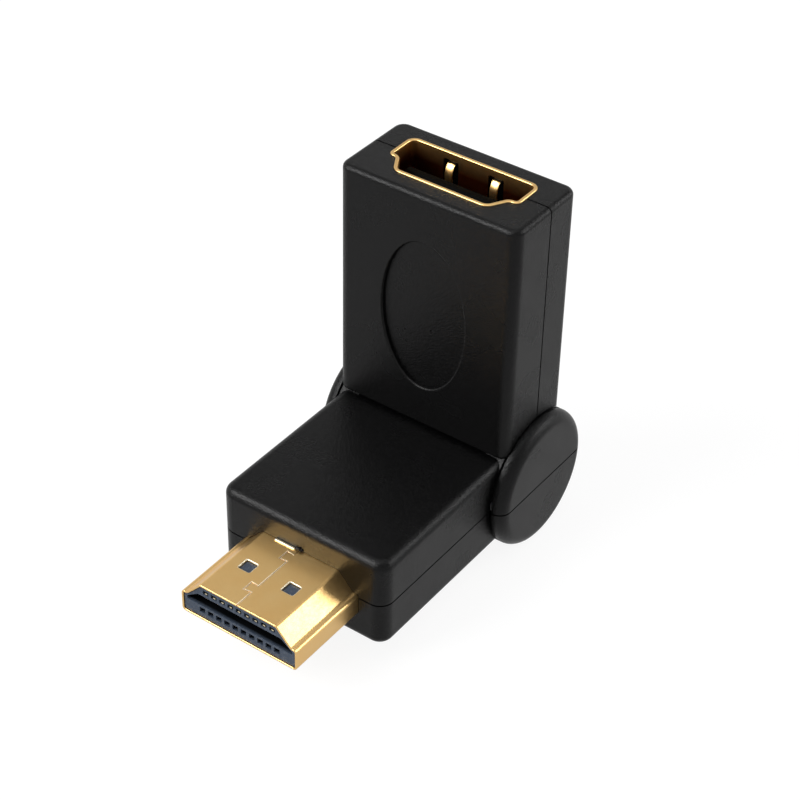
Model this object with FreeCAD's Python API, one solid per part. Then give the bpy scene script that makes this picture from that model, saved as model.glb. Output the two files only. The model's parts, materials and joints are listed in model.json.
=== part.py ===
"""Swivel video connector adapter: a plug half and a socket half joined by a hollow-pivot hinge.

Every size is in millimetres. The pieces are drawn about the hinge axis, which runs along X,
with the plug pointing to -Y and the socket half standing up along +Z. Each finished piece is
then moved to the part's frame, whose origin is under the middle of the part, on the table.
"""
import FreeCAD, Part
import math
import os

from FreeCAD import Placement, Rotation, Vector

# Housings, measured from the hinge axis
HOUSING_WIDTH = 19.9
HOUSING_WALL = 1.2
PLUG_HOUSING_THICKNESS = 10.45
PLUG_HOUSING_FRONT = 25.1
PLUG_HOUSING_REAR = 3.3
PLUG_HOUSING_CORNER = 1.55
PLUG_HOUSING_EDGE = 1.0
SOCKET_HOUSING_SIDE_STEP = 0.35
SOCKET_HOUSING_FRONT = 5.65
SOCKET_HOUSING_BACK = 4.65
SOCKET_HOUSING_TOP = 32.2
SOCKET_HOUSING_CORNER = 1.25
SOCKET_HOUSING_EDGE = 0.6
SOCKET_HOUSING_FOOT_EDGE = 0.35
SOCKET_PARTING = 0.0
PARTING_GROOVE_WIDTH = 0.1
PARTING_GROOVE_DEPTH = 0.15
OVAL_HALF_WIDTH = 4.8
OVAL_HALF_HEIGHT = 8.45
OVAL_HEIGHT = 18.55
OVAL_DEPTH = 0.25
OVAL_EDGE = 0.12

# Hinge
EAR_RADIUS = 7.45
EAR_PROUD = 1.7
EAR_INSET = 2.05
EAR_EDGE = 1.3
EAR_WALL = 0.8
SWIVEL_GAP = 0.2
BARREL_RADIUS = 5.2
BARREL_WALL = 1.1
WEB_HALF_DEPTH = 3.0
NECK_HALF_DEPTH = 1.8
BUSH_RADIUS = 2.6
BUSH_WALL = 0.4
BUSH_FLANGE_RADIUS = 3.7
BUSH_FLANGE = 0.3
BUSH_RUNNING_CLEARANCE = 0.08
SPRING_THICKNESS = 0.16
SPRING_HEIGHT = 0.3
SPRING_RADIUS = 3.5

# Clearance between pieces that are fitted together and don't move
FIT = 0.04

# How far cutting tools run past what they cut, and past the whole part
OVERSHOOT = 1.0
BEYOND = 60.0

# Plug
PLUG_WIDTH = 13.9
PLUG_HEIGHT = 4.45
PLUG_NARROW_WIDTH = 9.2
PLUG_SHOULDER = 0.36
PLUG_LEDGE = 0.6
PLUG_RADII = (0.45, 0.4, 0.5, 0.5)
PLUG_EXPOSED = 9.45
PLUG_EMBEDDED = 5.2
SHEET = 0.3
LATCH_HOLE_SPACING = 5.2
LATCH_HOLE_SIZE = 1.36
LATCH_HOLE_DISTANCE = 4.8
SEAM_OFFSET = -0.1
SEAM_WIDTH = 0.06
SEAM_TAB_DEPTH = 0.85
SEAM_TAB_LENGTH = 1.1
SEAM_TAB_FIRST = 2.15
SEAM_TAB_PITCH = 5.35
PLUG_WING_WIDTH = 1.3
PLUG_WING_LENGTH = 1.5
PLUG_INSULATOR_RECESS = 0.15
PLUG_SLOT_FLOOR = -0.55
PLUG_SLOT_ROOF = 0.75
PLUG_SLOT_WIDTH = 12.7
PLUG_SLOT_ROOF_WIDTH = 10.0
PLUG_SLOT_SIDE = 0.35
PLUG_SLOT_DEPTH = 7.6
PLUG_SLOT_LIP = 0.6

# Contacts: the narrow side has one fewer than the wide side
CONTACT_PITCH = 1.0
NARROW_SIDE_COUNT = 9
WIDE_SIDE_COUNT = 10
CONTACT_HOLE_WIDTH = 0.62
CONTACT_HOLE_HEIGHT = 0.48
UPPER_HOLE_HEIGHT = 1.3
LOWER_HOLE_HEIGHT = -1.13
CONTACT_WIDTH = 0.42
CONTACT_THICKNESS = 0.15
CONTACT_BOW = 0.12
CONTACT_BOW_START = 3.0
CONTACT_BOW_LENGTH = 1.1
CONTACT_BOW_END = 6.8
CONTACT_TAIL = 2.0

# Circuit boards
BOARD_THICKNESS = 0.8
BOARD_WIDTH = 11.6
BOARD_LENGTH = 6.0
BOARD_GAP = 0.6
BOARD_SIDE_GAP = 0.25
BOARD_RIB = 0.8

# Socket: its opening leaves room for the mating plug's shell all round the tongue
TONGUE_WIDTH = 11.8
TONGUE_SIDE_ROOM = 1.2
SOCKET_WIDTH = TONGUE_WIDTH + 2 * TONGUE_SIDE_ROOM
SOCKET_SLANT = 1.95
SOCKET_NARROW_WIDTH = SOCKET_WIDTH - 2 * SOCKET_SLANT
SOCKET_HEIGHT = 5.4
SOCKET_SHOULDER = 0.6
SOCKET_LEDGE = 0.9
SOCKET_RADII = (0.6, 0.3, 0.8, 0.5)
SOCKET_CENTRE = -0.45
SOCKET_DEPTH = 11.5
SOCKET_PROUD = 0.1
LIP_FLARE = 0.05
LIP_HEIGHT = 0.12
FINGER_SPACING = 5.2
FINGER_WINDOW_WIDTH = 1.75
FINGER_WINDOW_LENGTH = 4.6
FINGER_WINDOW_DISTANCE = 0.8
FINGER_WIDTH = 0.86
FINGER_TIP_GAP = 0.42
FINGER_BEND = 0.35
FINGER_THICKNESS = 0.24
FINGER_CREST = 1.2
FINGER_CREST_LENGTH = 0.45
TONGUE_THICKNESS = BOARD_THICKNESS + 2 * CONTACT_THICKNESS
TONGUE_RECESS = 1.4
TONGUE_OFFSET = 0.1
TONGUE_EDGE = 0.25
TONGUE_BASE = 2.6
SOCKET_CONTACT_RECESS = 0.7
SOCKET_CONTACT_WIDTH = 0.55
SOCKET_RIB = 1.0

# Wires
BUNDLE_RADIUS = 0.5
BUNDLE_BEND = 1.5
BUNDLE_BOARD_INSET = 1.6
BUNDLE_GAP = 0.05
BUNDLE_LEAD = 2.0
WIRE_WAY_HEIGHT = 2.4
WIRE_CORNER_INSET = 0.25
WIRE_CORNER_BEFORE = 1.75
WIRE_CORNER_AFTER = 1.0

# Alignment pegs that hold each pair of shells together
BOSS_RADIUS = 1.2
PEG_RADIUS = 0.6
PEG_LENGTH = 1.4

# Levels that follow from the sizes above
HALF_WIDTH = HOUSING_WIDTH / 2
SOCKET_HALF_WIDTH = HALF_WIDTH + SOCKET_HOUSING_SIDE_STEP
HALF_THICKNESS = PLUG_HOUSING_THICKNESS / 2
PLUG_FRONT = -PLUG_HOUSING_FRONT - PLUG_EXPOSED
PLUG_REAR = -PLUG_HOUSING_FRONT + PLUG_EMBEDDED
SOCKET_FOOT = HALF_THICKNESS + SWIVEL_GAP
EAR_INNER_FACE = HALF_WIDTH - EAR_INSET
EAR_OUTER_FACE = HALF_WIDTH + EAR_PROUD
EAR_RELIEF = EAR_RADIUS + SWIVEL_GAP
BARREL_SEAT = BARREL_RADIUS + SWIVEL_GAP
BARREL_END = EAR_INNER_FACE - SWIVEL_GAP
SOCKET_MOUTH = SOCKET_HOUSING_TOP + SOCKET_PROUD
SOCKET_REAR = SOCKET_MOUTH - SOCKET_DEPTH
TONGUE_CENTRE = SOCKET_CENTRE - TONGUE_OFFSET
SOCKET_CAVITY_FLOOR = EAR_RELIEF + HOUSING_WALL
PLUG_BOARD_FRONT = PLUG_REAR + BOARD_GAP
PLUG_BOARD_REAR = PLUG_BOARD_FRONT + BOARD_LENGTH
SOCKET_BOARD_TOP = SOCKET_REAR - BOARD_GAP
SOCKET_BOARD_FOOT = SOCKET_BOARD_TOP - BOARD_LENGTH
PEG_PLACE = BOARD_WIDTH / 2 + BOARD_SIDE_GAP + BOSS_RADIUS
BUNDLE_BOARD_OFFSET = BOARD_WIDTH / 2 - BUNDLE_BOARD_INSET
SPRING_SEAT = EAR_INNER_FACE + EAR_WALL
FLANGE_SEAT = SPRING_SEAT + SPRING_HEIGHT + SPRING_THICKNESS + 2 * FIT
WIRE_CORNER = (SPRING_SEAT, -BARREL_SEAT - EAR_WALL)
PLUG_CAVITY_LEVEL = HALF_THICKNESS - HOUSING_WALL
CAVITY_HALF_WIDTH = HALF_WIDTH - HOUSING_WALL
SOCKET_CAVITY_HALF_WIDTH = SOCKET_HALF_WIDTH - HOUSING_WALL
SOCKET_CAVITY_FRONT = -SOCKET_HOUSING_FRONT + HOUSING_WALL
SOCKET_CAVITY_BACK = SOCKET_HOUSING_BACK - HOUSING_WALL
PLUG_WING_START = -PLUG_HOUSING_FRONT + HOUSING_WALL
AXIS_Y = (EAR_RADIUS - PLUG_FRONT) / 2 - EAR_RADIUS
AXIS_Z = EAR_RADIUS

CENTRE = Vector(0, 0, 0)
ALONG_X = Vector(1, 0, 0)


def box(x0, x1, y0, y1, z0, z1):
    """A box between two corners."""
    return Part.makeBox(x1 - x0, y1 - y0, z1 - z0, Vector(x0, y0, z0))


def x_cylinder(radius, x0, x1):
    """A cylinder about the hinge axis."""
    return Part.makeCylinder(radius, x1 - x0, Vector(x0, 0, 0), ALONG_X)


def mirrored(shape):
    """The same shape on the other side of the middle plane."""
    return shape.mirror(CENTRE, ALONG_X)


def both_sides(shape):
    """A shape and its mirror image."""
    return [shape, mirrored(shape)]


def bent_path(points, radii, closed):
    """A wire of straight runs joined by tangent arcs, one radius for each point."""
    count = len(points)
    starts, ends, arcs = [], [], []
    for i, (point, radius) in enumerate(zip(points, radii)):
        if radius == 0:
            starts.append(point)
            ends.append(point)
            arcs.append(None)
            continue
        back = (points[i - 1] - point).normalize()
        ahead = (points[(i + 1) % count] - point).normalize()
        half_angle = back.getAngle(ahead) / 2
        middle = (back + ahead).normalize()
        reach = radius / math.tan(half_angle)
        starts.append(point + back * reach)
        ends.append(point + ahead * reach)
        inner = point + middle * (radius / math.sin(half_angle) - radius)
        arcs.append(Part.Arc(starts[-1], inner, ends[-1]).toShape())
    edges = []
    for i in range(count):
        if arcs[i]:
            edges.append(arcs[i])
        following = (i + 1) % count
        if not closed and following == 0:
            break
        if ends[i].distanceToPoint(starts[following]) > 1e-6:
            edges.append(Part.makeLine(ends[i], starts[following]))
    return Part.Wire(edges)


def flat_outline(corners):
    """A closed outline in the XY plane from corners given as (x, y, radius)."""
    points = [Vector(x, y, 0) for x, y, radius in corners]
    return bent_path(points, [radius for x, y, radius in corners], closed=True)


def ribbon(points, width):
    """A flat strip of even width in the XY plane that follows an open line of points."""
    line = [Vector(x, y, 0) for x, y in points]
    sides = ([], [])
    for i, point in enumerate(line):
        before = (point - line[i - 1]).normalize() if i else None
        after = (line[i + 1] - point).normalize() if i + 1 < len(line) else None
        along = ((before or after) + (after or before)).normalize()
        across = Vector(-along.y, along.x, 0)
        stretch = 1 / along.dot(after or before)
        for side, sign in zip(sides, (1, -1)):
            side.append(point + across * (sign * stretch * width / 2))
    loop = sides[0] + sides[1][::-1]
    return Part.Face(Part.makePolygon(loop + loop[:1]))


def on_plug_axis(shape, y):
    """Stand a shape drawn in the XY plane upright, across the plug, at a distance y."""
    moved = shape.copy()
    moved.Placement = Placement(Vector(0, y, 0), Rotation(ALONG_X, 90))
    return moved


def on_socket_axis(shape, z):
    """Lay a shape drawn in the XY plane across the socket, narrow side forward, at a height z."""
    moved = shape.copy()
    moved.Placement = Placement(Vector(0, SOCKET_CENTRE, z), Rotation(ALONG_X, 180))
    return moved


def side_profile(face, x, width):
    """A face drawn as (y, z) in the XY plane, turned to stand across X and given its width."""
    turned = face.copy()
    turned.Placement = Placement(Vector(x - width / 2, 0, 0), Rotation(Vector(1, 1, 1), 120))
    return turned.extrude(ALONG_X * width)


def row_places(count):
    """The places along X of a row of contacts."""
    return [(i - (count - 1) / 2) * CONTACT_PITCH for i in range(count)]


def save(node, shapes):
    """Move a finished piece to the part's frame and write it."""
    shape = shapes if isinstance(shapes, Part.Shape) else Part.makeCompound(shapes)
    shape = shape.copy()
    shape.translate(Vector(0, AXIS_Y, AXIS_Z))
    shape.exportStep(f"parts/{node}.step")


def edges_at(shape, test):
    """The edges whose middle and ends all pass a test."""
    chosen = []
    for edge in shape.Edges:
        middle = edge.valueAt((edge.FirstParameter + edge.LastParameter) / 2)
        places = [middle] + [vertex.Point for vertex in edge.Vertexes]
        if all(test(place) for place in places):
            chosen.append(edge)
    return chosen


def connector_outline(width, height, narrow, shoulder, ledge, radii):
    """The D-shaped outline of a connector, wide side down, centred on its height."""
    base, side, hollow, top = radii
    right = [
        (width / 2, -height / 2, base),
        (width / 2, shoulder, side),
        (width / 2 - ledge, shoulder, hollow),
        (narrow / 2, height / 2, top),
    ]
    left = [(-x, y, radius) for x, y, radius in reversed(right)]
    return flat_outline(right + left)


def plug_outline(inset=0.0):
    """The plug's outline, or one that runs evenly inside (or outside) it."""
    outline = connector_outline(
        PLUG_WIDTH, PLUG_HEIGHT, PLUG_NARROW_WIDTH, PLUG_SHOULDER, PLUG_LEDGE, PLUG_RADII)
    return outline.makeOffset2D(-inset) if inset else outline


def plug_prism(inset, y0, y1):
    """A solid of the plug's section between two distances."""
    face = on_plug_axis(Part.Face(plug_outline(inset)), y0)
    return face.extrude(Vector(0, y1 - y0, 0))


def socket_outline(outset=0.0):
    """The outline of the socket's opening, or one that runs evenly outside it."""
    outline = connector_outline(
        SOCKET_WIDTH, SOCKET_HEIGHT, SOCKET_NARROW_WIDTH, SOCKET_SHOULDER, SOCKET_LEDGE, SOCKET_RADII)
    return outline.makeOffset2D(outset) if outset else outline


def socket_prism(outset, z0, z1):
    """A solid of the socket's section between two heights."""
    face = on_socket_axis(Part.Face(socket_outline(outset)), z0)
    return face.extrude(Vector(0, 0, z1 - z0))


def plug_block(inset=0.0):
    """The outer form of the plug housing with its two ears, or one that runs inside it."""
    half, front = HALF_WIDTH - inset, -PLUG_HOUSING_FRONT + inset
    level, edge = HALF_THICKNESS - inset, PLUG_HOUSING_EDGE - inset
    corner = PLUG_HOUSING_CORNER - inset
    rear = -PLUG_HOUSING_REAR
    outline = flat_outline([
        (half, rear, 0), (-half, rear, 0), (-half, front, corner), (half, front, corner)])
    block = Part.Face(outline).extrude(Vector(0, 0, 2 * level))
    block.translate(Vector(0, 0, -level))
    rims = edges_at(block, lambda p: abs(abs(p.z) - level) < 1e-4)
    rims = [rim for rim in rims if rim.CenterOfMass.y < rear - 0.01]
    block = block.makeFillet(edge, rims)
    block = block.cut(x_cylinder(BARREL_SEAT + inset, -EAR_INNER_FACE, EAR_INNER_FACE))
    ear = x_cylinder(EAR_RADIUS - inset, EAR_INNER_FACE, EAR_OUTER_FACE - inset)
    ear_rim = edges_at(ear, lambda p: p.x > EAR_OUTER_FACE - inset - 1e-4)
    ear = ear.makeFillet(EAR_EDGE - inset, ear_rim)
    return block.fuse(both_sides(ear)).removeSplitter()


def peg_places_plug():
    """The places of the alignment pegs in the plug housing, as (x, y)."""
    front = PLUG_REAR + BOSS_RADIUS + PLUG_WING_LENGTH
    rear = PLUG_BOARD_REAR + BOSS_RADIUS
    return [(side * PEG_PLACE, y) for side in (-1, 1) for y in (front, rear)]


def wire_passages():
    """The way that leads each bundle from the plug housing round into its ear."""
    level = WIRE_WAY_HEIGHT / 2
    x, y = WIRE_CORNER
    reach = WIRE_WAY_HEIGHT
    rear_corner = box(x - reach, HALF_WIDTH - EAR_WALL / 2, y - reach, y, -level, level)
    into_ear = box(x, HALF_WIDTH + EAR_WALL / 4, EAR_WALL / 4 - EAR_RADIUS, y + reach, -level, level)
    return both_sides(rear_corner.fuse(into_ear))


def plug_cavity():
    """The hollow inside the plug housing and its ears."""
    half, level = CAVITY_HALF_WIDTH, PLUG_CAVITY_LEVEL
    rear = -BARREL_SEAT - HOUSING_WALL
    chamber = box(-half, half, PLUG_WING_START, rear, -level, level)
    ear = x_cylinder(EAR_RADIUS - EAR_WALL, SPRING_SEAT, EAR_OUTER_FACE - EAR_WALL)
    bearing = x_cylinder(
        BUSH_RADIUS + BUSH_RUNNING_CLEARANCE, EAR_INNER_FACE - OVERSHOOT, SPRING_SEAT + OVERSHOOT)
    return chamber.fuse(both_sides(ear) + both_sides(bearing) + wire_passages())


def plug_ribs():
    """Ribs that clamp the circuit board and the bosses round the alignment pegs."""
    level = PLUG_CAVITY_LEVEL
    gap = BOARD_THICKNESS / 2 + FIT
    ribs = []
    for y in (PLUG_BOARD_FRONT + CONTACT_TAIL, PLUG_BOARD_REAR - 2 * BOARD_RIB):
        for z0, z1 in ((gap, level), (-level, -gap)):
            ribs.append(box(-BOARD_WIDTH / 2, BOARD_WIDTH / 2, y, y + BOARD_RIB, z0, z1))
    for x, y in peg_places_plug():
        ribs.append(Part.makeCylinder(BOSS_RADIUS, 2 * level, Vector(x, y, -level)))
    return ribs


def plug_housing():
    """The top and bottom shells of the plug housing."""
    block = plug_block()
    groove = box(-BEYOND, BEYOND, -BEYOND, BEYOND, -PARTING_GROOVE_WIDTH / 2, PARTING_GROOVE_WIDTH / 2)
    groove = groove.cut(plug_block(PARTING_GROOVE_DEPTH))
    wing_half = PLUG_WIDTH / 2 + PLUG_WING_WIDTH + FIT
    wing_slot = box(
        -wing_half, wing_half, PLUG_WING_START - FIT, PLUG_WING_START + PLUG_WING_LENGTH + FIT,
        -SHEET / 2 - FIT, SHEET / 2 + FIT)
    body = block.cut(plug_cavity()).fuse(plug_ribs())
    body = body.cut([groove, wing_slot, plug_prism(-FIT, PLUG_FRONT, PLUG_REAR + FIT)])
    top = body.common(box(-BEYOND, BEYOND, -BEYOND, BEYOND, 0, BEYOND))
    bottom = body.common(box(-BEYOND, BEYOND, -BEYOND, BEYOND, -BEYOND, 0))
    for x, y in peg_places_plug():
        start = Vector(x, y, -PEG_LENGTH)
        top = top.fuse(Part.makeCylinder(PEG_RADIUS, PEG_LENGTH + BOSS_RADIUS, start))
        bottom = bottom.cut(Part.makeCylinder(
            PEG_RADIUS + FIT, PEG_LENGTH + FIT, start - Vector(0, 0, FIT)))
    save("plug_housing_top", top.removeSplitter())
    save("plug_housing_bottom", bottom.removeSplitter())


def seam_line():
    """The joint of the plug's folded sheet, with its two interlocking tabs, as (x, y)."""
    line = [(SEAM_OFFSET, PLUG_FRONT - OVERSHOOT)]
    for i in range(2):
        start = PLUG_FRONT + SEAM_TAB_FIRST + i * SEAM_TAB_PITCH
        for x, y in ((0, 0), (-SEAM_TAB_DEPTH, 0), (-SEAM_TAB_DEPTH, SEAM_TAB_LENGTH),
                     (0, SEAM_TAB_LENGTH)):
            line.append((SEAM_OFFSET + x, start + y))
    line.append((SEAM_OFFSET, PLUG_REAR + OVERSHOOT))
    return line


def plug_shell():
    """The plug's gold-plated shell, folded from sheet, with latch holes and fixing wings."""
    shell = plug_prism(0, PLUG_FRONT, PLUG_REAR).cut(
        plug_prism(SHEET, PLUG_FRONT - OVERSHOOT, PLUG_REAR + OVERSHOOT))
    wing = box(PLUG_WIDTH / 2 - SHEET / 2, PLUG_WIDTH / 2 + PLUG_WING_WIDTH, PLUG_WING_START,
               PLUG_WING_START + PLUG_WING_LENGTH, -SHEET / 2, SHEET / 2)
    shell = shell.fuse(both_sides(wing))
    seam = ribbon(seam_line(), SEAM_WIDTH).extrude(Vector(0, 0, PLUG_HEIGHT))
    cuts = [seam]
    for x in (-LATCH_HOLE_SPACING / 2, LATCH_HOLE_SPACING / 2):
        half, y = LATCH_HOLE_SIZE / 2, PLUG_FRONT + LATCH_HOLE_DISTANCE
        cuts.append(box(x - half, x + half, y - half, y + half, -PLUG_HEIGHT, PLUG_HEIGHT))
    save("plug_shell", shell.cut(cuts).removeSplitter())


def plug_insulator():
    """The moulded insert that carries the plug's contacts round the mating slot."""
    front = PLUG_FRONT + PLUG_INSULATOR_RECESS
    body = plug_prism(SHEET + FIT, front, PLUG_REAR)
    side = PLUG_SLOT_FLOOR + PLUG_SLOT_SIDE
    slot = flat_outline([
        (PLUG_SLOT_WIDTH / 2, PLUG_SLOT_FLOOR, 0), (PLUG_SLOT_WIDTH / 2, side, 0),
        (PLUG_SLOT_ROOF_WIDTH / 2, PLUG_SLOT_ROOF, 0), (-PLUG_SLOT_ROOF_WIDTH / 2, PLUG_SLOT_ROOF, 0),
        (-PLUG_SLOT_WIDTH / 2, side, 0), (-PLUG_SLOT_WIDTH / 2, PLUG_SLOT_FLOOR, 0)])
    slot = on_plug_axis(Part.Face(slot), front - OVERSHOOT)
    slot = slot.extrude(Vector(0, PLUG_SLOT_DEPTH + OVERSHOOT, 0))
    cuts = [slot]
    rows = ((NARROW_SIDE_COUNT, UPPER_HOLE_HEIGHT, PLUG_SLOT_ROOF),
            (WIDE_SIDE_COUNT, LOWER_HOLE_HEIGHT, PLUG_SLOT_FLOOR))
    for count, height, slot_face in rows:
        side_sign = math.copysign(1, height)
        outer = height + side_sign * CONTACT_HOLE_HEIGHT / 2
        inner = slot_face - side_sign * CONTACT_BOW
        low, high = sorted((outer, inner))
        for x in row_places(count):
            x0, x1 = x - CONTACT_HOLE_WIDTH / 2, x + CONTACT_HOLE_WIDTH / 2
            hole_low = height - CONTACT_HOLE_HEIGHT / 2
            cuts.append(box(x0, x1, front - OVERSHOOT, PLUG_REAR + OVERSHOOT,
                            hole_low, hole_low + CONTACT_HOLE_HEIGHT))
            cuts.append(box(x0, x1, front + PLUG_SLOT_LIP, front + PLUG_SLOT_DEPTH, low, high))
    save("plug_insulator", body.cut(cuts).removeSplitter())


def plug_contact_line(height, slot_face):
    """The side view of one plug contact as (y, z): a bowed spring with a tail on the board."""
    side_sign = math.copysign(1, height)
    front = PLUG_FRONT + PLUG_INSULATOR_RECESS
    bow = slot_face - side_sign * (CONTACT_BOW - CONTACT_THICKNESS)
    tail = side_sign * (BOARD_THICKNESS + CONTACT_THICKNESS) / 2
    return [
        (front + CONTACT_THICKNESS, height),
        (front + PLUG_SLOT_LIP + CONTACT_THICKNESS, height),
        (front + CONTACT_BOW_START, bow),
        (front + CONTACT_BOW_START + CONTACT_BOW_LENGTH, bow),
        (front + CONTACT_BOW_END, height),
        (PLUG_REAR + FIT, height),
        (PLUG_BOARD_FRONT - FIT, tail),
        (PLUG_BOARD_FRONT + CONTACT_TAIL - FIT, tail),
    ]


def plug_contacts():
    """The two rows of stamped spring contacts in the plug."""
    rows = (("plug_contacts_upper", NARROW_SIDE_COUNT, UPPER_HOLE_HEIGHT, PLUG_SLOT_ROOF),
            ("plug_contacts_lower", WIDE_SIDE_COUNT, LOWER_HOLE_HEIGHT, PLUG_SLOT_FLOOR))
    for node, count, height, slot_face in rows:
        face = ribbon(plug_contact_line(height, slot_face), CONTACT_THICKNESS)
        save(node, [side_profile(face, x, CONTACT_WIDTH) for x in row_places(count)])


def plug_board():
    """The small circuit board that the plug contacts straddle."""
    save("plug_board", box(
        -BOARD_WIDTH / 2, BOARD_WIDTH / 2, PLUG_BOARD_FRONT, PLUG_BOARD_REAR,
        -BOARD_THICKNESS / 2, BOARD_THICKNESS / 2))


def socket_block(inset=0.0):
    """The outer form of the socket housing with its barrel, or one that runs inside it."""
    half = SOCKET_HALF_WIDTH - inset
    front, back = -SOCKET_HOUSING_FRONT + inset, SOCKET_HOUSING_BACK - inset
    foot, top = SOCKET_FOOT + inset, SOCKET_HOUSING_TOP - inset
    corner = SOCKET_HOUSING_CORNER - inset
    outline = flat_outline([
        (half, front, corner), (half, back, corner), (-half, back, corner), (-half, front, corner)])
    block = Part.Face(outline).extrude(Vector(0, 0, top - foot))
    block.translate(Vector(0, 0, foot))
    top_rim = edges_at(block, lambda p: p.z > top - 1e-4)
    block = block.makeFillet(SOCKET_HOUSING_EDGE - inset, top_rim)
    foot_rim = edges_at(block, lambda p: p.z < foot + 1e-4)
    block = block.makeFillet(SOCKET_HOUSING_FOOT_EDGE - inset, foot_rim)
    ear_relief = x_cylinder(EAR_RELIEF + inset, BARREL_END - inset, EAR_OUTER_FACE)
    block = block.cut(both_sides(ear_relief))
    barrel = x_cylinder(BARREL_RADIUS - inset, -BARREL_END + inset, BARREL_END - inset)
    web = box(-BARREL_END + inset, BARREL_END - inset, -WEB_HALF_DEPTH + inset,
              WEB_HALF_DEPTH - inset, 0, SOCKET_FOOT + OVERSHOOT)
    return block.fuse([barrel, web]).removeSplitter()


def peg_places_socket():
    """The places of the alignment pegs in the socket housing, as (x, z)."""
    low = SOCKET_CAVITY_FLOOR + BOSS_RADIUS
    high = SOCKET_REAR - SOCKET_RIB - BOSS_RADIUS
    return [(side * PEG_PLACE, z) for side in (-1, 1) for z in (low, high)]


def socket_cavity():
    """The hollow inside the socket housing, its neck and its barrel."""
    half = SOCKET_CAVITY_HALF_WIDTH
    chamber = box(-half, half, SOCKET_CAVITY_FRONT, SOCKET_CAVITY_BACK,
                  SOCKET_CAVITY_FLOOR, SOCKET_HOUSING_TOP - HOUSING_WALL)
    inner_end = BARREL_END - BARREL_WALL
    barrel = x_cylinder(BARREL_RADIUS - BARREL_WALL, -inner_end, inner_end)
    neck = box(-inner_end, inner_end, -NECK_HALF_DEPTH, NECK_HALF_DEPTH,
               0, SOCKET_CAVITY_FLOOR + OVERSHOOT)
    bore = x_cylinder(BUSH_RADIUS + FIT, -EAR_INNER_FACE, EAR_INNER_FACE)
    return chamber.fuse([barrel, neck, bore])


def socket_board_clamps(y0, y1):
    """The two ribs of one shell that hold the circuit board."""
    places = (SOCKET_BOARD_TOP - CONTACT_TAIL - BOARD_RIB, SOCKET_BOARD_FOOT + BOARD_RIB)
    return [box(-BOARD_WIDTH / 2, BOARD_WIDTH / 2, y0, y1, z, z + BOARD_RIB) for z in places]


def socket_ribs():
    """The frame round the socket shell and the bosses round the pegs."""
    front, back, half = SOCKET_CAVITY_FRONT, SOCKET_CAVITY_BACK, SOCKET_CAVITY_HALF_WIDTH
    frame_low = SOCKET_REAR + TONGUE_BASE - SOCKET_RIB
    ribs = [box(-half, half, front, back, frame_low, frame_low + SOCKET_RIB)]
    for x, z in peg_places_socket():
        ribs.append(Part.makeCylinder(BOSS_RADIUS, back - front, Vector(x, front, z), Vector(0, 1, 0)))
    return ribs


def oval_recess():
    """The shallow oval panel in the front of the socket housing."""
    ellipse = Part.Ellipse(CENTRE, OVAL_HALF_HEIGHT, OVAL_HALF_WIDTH)
    face = Part.Face(Part.Wire(ellipse.toShape()))
    turn = Rotation(ALONG_X, 90).multiply(Rotation(Vector(0, 0, 1), 90))
    face.Placement = Placement(Vector(0, -SOCKET_HOUSING_FRONT - OVERSHOOT, OVAL_HEIGHT), turn)
    return face.extrude(Vector(0, OVERSHOOT + OVAL_DEPTH, 0))


def socket_housing():
    """The front and rear shells of the socket housing."""
    parting = SOCKET_PARTING
    block = socket_block().cut(oval_recess())
    rim = edges_at(block, lambda p: abs(p.y + SOCKET_HOUSING_FRONT) < 1e-4
                   and math.hypot(p.x / OVAL_HALF_WIDTH, (p.z - OVAL_HEIGHT) / OVAL_HALF_HEIGHT) < 1.01)
    block = block.makeFillet(OVAL_EDGE, rim)
    groove = box(-BEYOND, BEYOND, parting - PARTING_GROOVE_WIDTH / 2,
                 parting + PARTING_GROOVE_WIDTH / 2, -BEYOND, BEYOND)
    groove = groove.cut(socket_block(PARTING_GROOVE_DEPTH))
    lip = socket_prism(SHEET + LIP_FLARE + FIT, SOCKET_MOUTH - LIP_HEIGHT - FIT, SOCKET_MOUTH)
    body = block.cut(socket_cavity()).fuse(socket_ribs())
    body = body.cut([groove, lip, socket_prism(SHEET + FIT, SOCKET_REAR - FIT, SOCKET_MOUTH)])
    front = body.common(box(-BEYOND, BEYOND, -BEYOND, parting, -BEYOND, BEYOND))
    rear = body.common(box(-BEYOND, BEYOND, parting, BEYOND, -BEYOND, BEYOND))
    gap = BOARD_THICKNESS / 2 + FIT
    front = front.fuse(socket_board_clamps(SOCKET_CAVITY_FRONT, TONGUE_CENTRE - gap))
    rear = rear.fuse(socket_board_clamps(TONGUE_CENTRE + gap, SOCKET_CAVITY_BACK))
    for x, z in peg_places_socket():
        start, along = Vector(x, parting - BOSS_RADIUS, z), Vector(0, 1, 0)
        front = front.fuse(Part.makeCylinder(PEG_RADIUS, PEG_LENGTH + BOSS_RADIUS, start, along))
        rear = rear.cut(Part.makeCylinder(
            PEG_RADIUS + FIT, PEG_LENGTH + BOSS_RADIUS + FIT, start, along))
    save("socket_housing_front", front.removeSplitter())
    save("socket_housing_rear", rear.removeSplitter())


def spring_finger(x, wall_face, inward):
    """One spring finger, bent in from its window in the socket's wall; inward is +1 or -1 in Y."""
    top = SOCKET_MOUTH - FINGER_WINDOW_DISTANCE - FINGER_TIP_GAP
    root = SOCKET_MOUTH - FINGER_WINDOW_DISTANCE - FINGER_WINDOW_LENGTH
    middle = wall_face - inward * SHEET / 2
    bend = middle + inward * FINGER_BEND
    crest = top - FINGER_CREST
    line = [(middle, root - SHEET), (middle, root + SHEET), (bend, crest),
            (bend, crest + FINGER_CREST_LENGTH), (middle, top)]
    return side_profile(ribbon(line, FINGER_THICKNESS), x, FINGER_WIDTH)


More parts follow.
